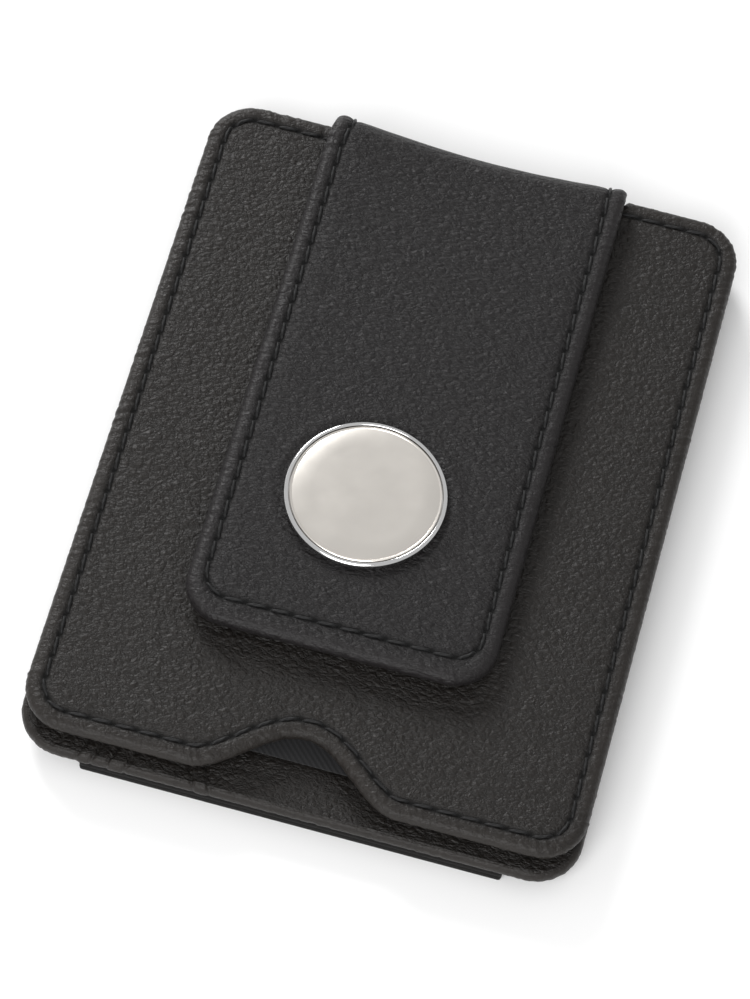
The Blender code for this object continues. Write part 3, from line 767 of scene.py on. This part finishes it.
def flap_face(points, away):
    """The flap's leather: sewn border, soft creases across it, and a seat for the disc."""
    local = np.array(points)
    sewn = FLAP_SEWN(local, away)
    inside = smooth(away, 2.6 * MM, 5.0 * MM)
    crease = 0.05 * MM * ripple(local, 6.0 * MM, 3.0, (0.5, 1.6))
    crease += 0.03 * MM * ripple(local, 2.2 * MM, 8.0, (0.6, 1.5))
    reach = np.hypot(local[:, 0] - DISC.x, local[:, 1] + FLAP_END - DISC.y)
    seat = 0.12 * MM * np.exp(-((reach - DISC_RADIUS - 1.3 * MM) / (0.7 * MM)) ** 2)
    seat = seat - 0.25 * MM * np.exp(-((reach - DISC_RADIUS - 0.25 * MM) / (0.4 * MM)) ** 2)
    under = smooth(reach, DISC_RADIUS + 0.6 * MM, DISC_RADIUS - 0.8 * MM)
    return (sewn + inside * (0.12 * MM + crease)) * (1 - under) + seat * (1 - under) + 0.10 * MM * under


def magnet_distance(x, y):
    """How far places on the front lie outside the bar magnet under it."""
    centre = (MAGNET_LOW + MAGNET_HIGH) / 2
    size = (MAGNET_HIGH - MAGNET_LOW) / 2
    return np.hypot(np.maximum(np.abs(x - centre.x) - size.x, 0), np.maximum(np.abs(y - centre.y) - size.y, 0))


def front_face(points, away):
    """The front's leather: sewn border, soft creases, and a low swell over the magnet."""
    local = np.array(points)
    sewn = FRONT_SEWN(local, away)
    inside = smooth(away, 2.6 * MM, 6.0 * MM)
    crease = 0.06 * MM * ripple(local, 9.0 * MM, 1.0) + 0.03 * MM * ripple(local, 2.6 * MM, 4.0, (1.4, 0.8))
    swell = 0.18 * MM * smooth(magnet_distance(local[:, 0], local[:, 1]), 5.0 * MM, 0.0)
    return sewn + inside * (0.06 * MM + crease) + swell


def back_face(points, away):
    local = np.array(points)
    inside = smooth(away, 2.6 * MM, 5.0 * MM)
    return BACK_SEWN(local, away) + inside * 0.05 * MM * ripple(local, 8.0 * MM, 6.0)


def pleats(x, y):
    """Where the turned leather is folded double at the mouth: a raised block between two creases."""
    height = np.zeros(len(x))
    for left, right in PLEATS:
        x_here = x - PLEAT_LEAN * (y - BOTTOM) * math.copysign(1, -left - 20.0 * MM)
        height += smooth(x_here, left, left + PLEAT_SIDE) * (1 - smooth(x_here, right - PLEAT_SIDE, right))
        for crease in (left - 0.12 * MM, right + 0.12 * MM):
            height -= 1.3 * np.exp(-((x_here - crease) / (0.20 * MM)) ** 2)
    return height


def mouth_hem(points, away):
    """The inside of the rear panel: a turned hem round its edge, folded double in places at the mouth."""
    local = np.array(points)
    step = -HEM_STEP * smooth(away, 6.6 * MM, 7.4 * MM)
    low = smooth(local[:, 1], BOTTOM + 8.0 * MM, BOTTOM + 4.0 * MM) * (local[:, 1] < 0)
    return step + HEM_STEP * pleats(-local[:, 0], local[:, 1]) * low


def rear_gather(points, along, run, turn):
    """The rear panel's creases, with the pleats standing out along the lower edge."""
    low = smooth(points[:, 1], BOTTOM + 4.0 * MM, BOTTOM + 2.0 * MM)
    inner = float(smooth(run, -0.2 * MM, -1.2 * MM)) if np.ndim(run) == 0 else 0.0
    return REAR_CREASES(points, along, run, turn) + 0.17 * MM * pleats(-points[:, 0], points[:, 1]) * low * inner


def pocket_face(points, away):
    return POCKET_SEWN(np.array(points), away) - 0.03 * MM


FRONT_OUTLINE = front_outline()
FRONT_SEAM = Seam(inset_path(front_outline(0.1 * MM, 2.6 * MM), SEAM_INSET), True)
FRONT_SEWN = seam_relief(FRONT_SEAM)
BACK_SEAM = Seam(inset_path(rear_outline(), SEAM_INSET), True)
BACK_SEWN = seam_relief(BACK_SEAM)

strap_path = inset_path(strap_outline(0.0, STRAP_LENGTH + 30.0 * MM, 1.2 * MM), SEAM_INSET)
strap_path = strap_path[strap_path[:, 1] < STRAP_LENGTH - 2.0 * MM]
split = int(np.argmax(np.linalg.norm(np.roll(strap_path, -1, axis=0) - strap_path, axis=1))) + 1
FLAP_SEAM = Seam(np.roll(strap_path, -split, axis=0), False)
FLAP_SEWN = seam_relief(FLAP_SEAM)

pocket_left, pocket_right = POCKET_LOW.x + 1.4 * MM, POCKET_HIGH.x - 1.4 * MM
pocket_low, pocket_high = POCKET_LOW.y + 1.4 * MM, POCKET_HIGH.y - 0.6 * MM
pocket_path = [(pocket_left, pocket_high)]
pocket_path += arc(pocket_left + 0.6 * MM, pocket_low + 0.6 * MM, 0.6 * MM, 180, 270, 4)
pocket_path += arc(pocket_right - 0.6 * MM, pocket_low + 0.6 * MM, 0.6 * MM, 270, 360, 4)
pocket_path += [(pocket_right, pocket_high)]
POCKET_SEAM = Seam(pocket_path, False)
POCKET_SEWN = seam_relief(POCKET_SEAM, groove=0.22 * MM, width=0.4 * MM, rim=0.0)

REAR_CREASES = gathers(7.0, 0.09 * MM)


def declare(item, node, body):
    """Hides the model's node that a piece stands for and hangs the piece on the empty of the body it rides."""
    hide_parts(node)
    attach(item, body)


def body_pieces():
    front = panel("front_leather", FRONT_OUTLINE, FRONT_BACK, FRONT_FACE, 0.95 * MM, BODY_LEATHER,
                  relief=front_face, gather=gathers(2.0), seam=FRONT_SEAM, spacing=0.22 * MM,
                  bands=[(4.6 * MM, 0.28 * MM), (1.0, 1.0 * MM)])
    declare(front, "front_panel", "wallet")

    stitches = thread_mesh("front_stitches", FRONT_SEAM, lambda x, y: FRONT_FACE - 0.10 * MM, stay, THREAD_BLACK)
    declare(stitches, "front_seam_thread", "wallet")

    flip = turn_over(REAR_FACE + REAR_INSIDE)
    rear = panel("rear_leather", rear_outline(), REAR_FACE, REAR_INSIDE, 0.65 * MM, BODY_LEATHER,
                 relief=back_face, back_relief=lambda p, d: -mouth_hem(p, d), gather=rear_gather, spacing=0.2 * MM,
                 seam=BACK_SEAM, bands=[(4.2 * MM, 0.36 * MM), (1.0, 1.1 * MM)],
                 back_bands=[(8.0 * MM, 0.26 * MM), (1.0, 1.6 * MM)], place=flip)
    declare(rear, "rear_panel", "wallet")

    stitches = thread_mesh("rear_stitches", BACK_SEAM, lambda x, y: REAR_INSIDE - 0.10 * MM, flip, THREAD_BLACK,
                           seed=4.0)
    declare(stitches, "rear_seam_thread", "wallet")


def welt_outline(side):
    """One strip between the panels: round the lower corner, up the side and along the top to the fold."""
    outer, inner = 0.75 * MM, 4.8 * MM
    small, lift, start = 1.3 * MM, 1.3 * MM, 283
    end = side * FLAP_X + FLAP_HALF + 0.9 * MM
    centre = (RIGHT - CORNER, BOTTOM + CORNER + lift)
    points = arc(*centre, CORNER - outer, start, 360)
    points += arc(RIGHT - CORNER, TOP - CORNER, CORNER - outer, 0, 90)
    points += arc(end + small, TOP - outer - small, small, 90, 180, 6)
    points += arc(end + small, TOP - inner + small, small, 180, 270, 6)
    points += arc(RIGHT - CORNER, TOP - CORNER, CORNER - inner, 90, 0, 6)
    points += arc(*centre, CORNER - inner, 360, start, 6)
    if side < 0:
        points = [(-x, y) for x, y in points][::-1]
    return points


def welts():
    low, high = REAR_INSIDE - 0.05 * MM, FRONT_BACK + 0.05 * MM
    for side, name in ((-1, "left_welt"), (1, "right_welt")):
        strip = panel(name, welt_outline(side), low, high, (high - low) / 2, BODY_LEATHER,
                      bands=[(1.0, 0.9 * MM)], back_bands=[(1.0, 0.9 * MM)], gather=gathers(11.0 + side, 0.04 * MM))
        declare(strip, "pocket_welt", "wallet")


def linings():
    outline = inset_path(FRONT_OUTLINE, 3.4 * MM)
    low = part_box("front_lining")[0].z
    cloth_piece("pocket_front_lining", outline, low, FRONT_BACK - 0.02 * MM, "wallet", "front_lining")
    outline = rounded_box(LEFT + 7.0 * MM, BOTTOM + 7.0 * MM, RIGHT - 7.0 * MM, TOP - 7.0 * MM, [2.0 * MM] * 4)
    cloth_piece("pocket_rear_lining", outline, REAR_INSIDE - 0.20 * MM, REAR_INSIDE + 0.06 * MM, "wallet",
                "rear_lining")
    cloth_piece("back_pocket_lining", pocket_outline(0.9 * MM), POCKET_HIGH.z + 0.22 * MM, POCKET_HIGH.z + 0.45 * MM,
                "wallet", "rear_pocket_lining")


def cloth_piece(name, outline, low, high, body, node, relief=None, place=None):
    item = panel(name, outline, low, high, (high - low) / 2, LINING, relief=relief, place=place,
                 bands=[(1.0, 1.2 * MM)], back_bands=[(1.0, 1.2 * MM)], steps=4)
    declare(item, node, body)


def back_pocket():
    middle = POCKET_HIGH.z + 0.2 * MM
    flip = turn_over(middle)
    flat = panel("back_pocket_leather", pocket_outline(), 0.0, middle, 0.12 * MM, BODY_LEATHER, relief=pocket_face,
                 place=flip, seam=POCKET_SEAM, cut=0.95, bands=[(3.0 * MM, 0.3 * MM), (1.0, 1.2 * MM)], steps=4)
    declare(flat, "rear_pocket_panel", "wallet")

    stitches = thread_mesh("back_pocket_stitches", POCKET_SEAM, lambda x, y: middle - 0.30 * MM, flip, THREAD_BLACK,
                           seed=9.0)
    declare(stitches, "rear_pocket_thread", "wallet")

    low, high = middle - 0.02 * MM, REAR_FACE + 0.12 * MM
    left, right, bottom, head = POCKET_LOW.x, POCKET_HIGH.x, POCKET_LOW.y, POCKET_HIGH.y - 1.2 * MM
    width, small = 3.0 * MM, 0.25 * MM
    corners = (
        (left + small, bottom + small, 180, 270), (right - small, bottom + small, 270, 360),
        (right - small, head - small, 0, 90), (right - width + small, head - small, 90, 180),
        (right - width - small, bottom + width + small, 0, -90),
        (left + width + small, bottom + width + small, 270, 180),
        (left + width - small, head - small, 0, 90), (left + small, head - small, 90, 180),
    )
    points = []
    for x, y, start, end in corners:
        points += arc(x, y, small, start, end, 4)
    strip = panel("back_pocket_welt", points, low, high, 0.12 * MM, EDGE_LEATHER,
                  bands=[(1.0, 0.9 * MM)], back_bands=[(1.0, 0.9 * MM)], steps=4)
    declare(strip, "rear_pocket_welt", "wallet")


def split_strap(item, root_name):
    """Cuts the flat strap at the fold's crest and gives the root half as a new object."""
    shape = bmesh.new()
    shape.from_mesh(item.data)
    everything = shape.verts[:] + shape.edges[:] + shape.faces[:]
    bmesh.ops.bisect_plane(shape, geom=everything, dist=1e-7, plane_co=(0, CREST_U, 0), plane_no=(0, 1, 0))
    shape.to_mesh(item.data)
    shape.free()
    root = item.copy()
    root.data = item.data.copy()
    root.name = root_name
    root.data.name = root_name
    bpy.context.scene.collection.objects.link(root)
    for piece, sign in ((item, 1), (root, -1)):
        shape = bmesh.new()
        shape.from_mesh(piece.data)
        far = [f for f in shape.faces if sign * (f.calc_center_median().y - CREST_U) > 0]
        bmesh.ops.delete(shape, geom=far, context="FACES")
        shape.to_mesh(piece.data)
        shape.free()
    return root


def bend_piece(item, place):
    for vertex in item.data.vertices:
        vertex.co = place(vertex.co)
    item.data.update()


FOLD_MID_LOW = ((0, BEND_Y + 0.3 * MM, 5.15 * MM), (0, BEND_Y + 2.8 * MM, 7.65 * MM))
FOLD_MID_HIGH = ((0, BEND_Y + 2.8 * MM, 8.6 * MM), (0, BEND_Y + 0.3 * MM, 11.1 * MM))


def strap():
    flap = panel("flap_leather", strap_outline(), strap_low, strap_high, 1.05 * MM, FLAP_LEATHER,
                 relief=flap_face, gather=gathers(21.0, 0.12 * MM), spacing=0.22 * MM, seam=FLAP_SEAM,
                 bands=[(4.8 * MM, 0.3 * MM), (1.0, 0.7 * MM)], back_bands=[(1.0, 0.9 * MM)])
    fold = split_strap(flap, "fold_leather")
    for piece in (flap, fold):
        bend_piece(piece, strap_bend)
    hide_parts("flap_cover")
    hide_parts("flap_fold", "flap_anchor")

    def thread_level(x, u):
        return float(strap_high(np.array([(x, u)]))[0]) - 0.10 * MM

    upper = thread_mesh("flap_stitches", FLAP_SEAM, thread_level, strap_bend, THREAD_BLACK,
                        keep=lambda p: p[1] < CREST_U, seed=12.0)
    lower = thread_mesh("fold_stitches", FLAP_SEAM, thread_level, strap_bend, THREAD_BLACK,
                        keep=lambda p: p[1] >= CREST_U, seed=12.0)
    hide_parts("flap_seam_thread")
    for piece in (flap, upper):
        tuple(FOLD_MID_HIGH[0])
        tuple(FOLD_MID_HIGH[1])
        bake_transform(piece)
    for piece in (fold, lower):
        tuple(FOLD_MID_LOW[0])
        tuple(FOLD_MID_LOW[1])
        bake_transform(piece)


def flap_lining():
    low, high = FLAP_BACK - 0.30 * MM, FLAP_BACK - 0.03 * MM
    length = FLAT_LENGTH - 1.0 * MM

    def place(point):
        return Vector((-point.x + 2 * FLAP_X, FLAP_END + point.y, low + high - point.z))

    magnet_x = (MAGNET_LOW.x + MAGNET_HIGH.x) / 2

    def swell(points, away):
        reach = magnet_distance(points[:, 0] - FLAP_X + magnet_x, points[:, 1] + FLAP_END)
        return 0.14 * MM * smooth(reach, 4.0 * MM, 0.0)

    outline = strap_outline(1.3 * MM, length)
    cloth_piece("flap_lining_cloth", outline, low, high, "flap", "flap_lining", swell, place)


def turned(name, profile, material, steps=192):
    """A solid of revolution about the disc's axis from (radius, height) points, top to bottom."""
    verts, faces = [], []
    on_axis = profile[0][0] == 0.0
    closed = not on_axis
    rings = profile[1:-1] if on_axis else profile
    for radius, height in rings:
        for step in range(steps):
            angle = 2 * math.pi * step / steps
            verts.append((DISC.x + radius * math.cos(angle), DISC.y + radius * math.sin(angle), height))
    spans = len(rings) if closed else len(rings) - 1
    for ring in range(spans):
        after = (ring + 1) % len(rings)
        for step in range(steps):
            other = (step + 1) % steps
            faces.append((ring * steps + step, ring * steps + other, after * steps + other, after * steps + step))
    if on_axis:
        verts += [(DISC.x, DISC.y, profile[0][1]), (DISC.x, DISC.y, profile[-1][1])]
        last = (len(rings) - 1) * steps
        for step in range(steps):
            other = (step + 1) % steps
            faces.append((len(verts) - 2, step, other))
            faces.append((len(verts) - 1, last + other, last + step))
    mesh = bpy.data.meshes.new(name)
    mesh.from_pydata(verts, [], faces)
    return finish_mesh(mesh, material, angle=28)


def rounded_profile(points, radius, steps=4):
    """Corner points with each corner eased by short cuts."""
    result = []
    count = len(points)
    for index, corner in enumerate(points):
        corner = Vector(corner)
        before, after = Vector(points[index - 1]), Vector(points[(index + 1) % count])
        near = min(radius, (before - corner).length * 0.45, (after - corner).length * 0.45)
        start = corner + (before - corner).normalized() * near
        end = corner + (after - corner).normalized() * near
        for step in range(steps + 1):
            t = step / steps
            point = start * (1 - t) ** 2 + corner * 2 * t * (1 - t) + end * t ** 2
            result.append((point.x, point.y))
    return result


def disc():
    low, high = DISC_SEAT, BEZEL_HIGH.z
    outer = DISC_RADIUS
    inner = outer - RIM_WALL
    profile = [
        (outer - 0.10 * MM, low), (outer, low + 0.15 * MM),
        (outer, high - 0.22 * MM), (outer - 0.24 * MM, high),
        (inner + 0.10 * MM, high - 0.02 * MM), (inner, high - 0.14 * MM),
        (inner, DISC_GROOVE), (inner - 3.0 * MM, DISC_GROOVE), (inner - 3.0 * MM, low),
    ]
    rim = turned("disc_rim", rounded_profile(profile, 0.12 * MM), CHROME)
    declare(rim, "disc_bezel", "flap")
    edge = inner - 0.13 * MM
    top = PLATE_HIGH.z
    face = [
        (0.0, top - 0.03 * MM), (edge - 3.0 * MM, top - 0.03 * MM),
        (edge - 0.42 * MM, top - 0.045 * MM), (edge - 0.34 * MM, top - 0.07 * MM),
        (edge - 0.26 * MM, top - 0.01 * MM), (edge - 0.10 * MM, top + 0.01 * MM),
        (edge, top - 0.07 * MM), (edge, DISC_GROOVE + 0.02 * MM), (0.0, DISC_GROOVE + 0.02 * MM),
    ]
    plate = turned("disc_face", face, SATIN)
    declare(plate, "disc_plate", "flap")


def inner_nodes():
    """The hidden pieces keep their shape and get their own finish."""
    finishes = {
        "front_board": BOARD, "rear_board": BOARD, "front_magnet": NICKEL, "flap_magnet": NICKEL,
        "flap_stiffener": SPRING, "disc_washer": SPRING,
    }
    for name, material in finishes.items():
        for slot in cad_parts[name].material_slots:
            slot.material = material


# Camera, floor and light.

def camera():
    data = bpy.data.cameras.new("camera")
    data.lens = 166.3
    data.sensor_width = 36.0
    data.clip_start = 0.01
    item = bpy.data.objects.new("camera", data)
    bpy.context.scene.collection.objects.link(item)
    azimuth, elevation, roll = math.radians(8.37), math.radians(61.70), math.radians(7.28)
    distance = 621.2 * MM
    target = Vector((-0.85 * MM, -5.09 * MM, 8.0 * MM))
    away = Vector((math.sin(azimuth) * math.cos(elevation), -math.cos(azimuth) * math.cos(elevation),
                   math.sin(elevation)))
    item.location = target + away * distance
    turn = (-away).to_track_quat("-Z", "Y").to_matrix()
    item.rotation_euler = (turn @ Matrix.Rotation(roll, 3, "Z")).to_euler()
    bpy.context.scene.camera = item


def floor():
    mesh = bpy.data.meshes.new("floor")
    half = 3.0
    mesh.from_pydata([(-half, -half, 0), (half, -half, 0), (half, half, 0), (-half, half, 0)], [], [(0, 1, 2, 3)])
    n = Nodes("floor")
    wide = n.noise(n.place((3.0, 3.0, 3.0)))
    n.link(n.mix(wide, (0.90, 0.90, 0.90), (0.93, 0.93, 0.93)), n.shader.inputs["Base Color"])
    n.set("Roughness", 0.9)
    n.set("Specular IOR Level", 0.1)
    mesh.materials.append(n.material)
    item = bpy.data.objects.new("floor", mesh)
    bpy.context.scene.collection.objects.link(item)


def lamp(name, place, size, power):
    data = bpy.data.lights.new(name, "AREA")
    data.shape = "DISK"
    data.size = size
    data.energy = power
    item = bpy.data.objects.new(name, data)
    item.location = place
    item.rotation_euler = (-Vector(place)).to_track_quat("-Z", "Y").to_euler()
    bpy.context.scene.collection.objects.link(item)


def light():
    world = bpy.data.worlds.new("studio")
    bpy.context.scene.world = world
    world.use_nodes = True
    background = world.node_tree.nodes["Background"]
    background.inputs["Color"].default_value = (1.0, 1.0, 1.0, 1.0)
    background.inputs["Strength"].default_value = 0.60
    lamp("key", place=(-0.50, 0.75, 0.50), size=0.40, power=7.5)
    lamp("fill", place=(-0.05, -0.45, 0.42), size=0.50, power=2.8)
    bpy.context.scene.view_settings.view_transform = "Standard"


camera()
floor()
light()
body_pieces()
welts()
back_pocket()
linings()
strap()
flap_lining()
disc()
inner_nodes()
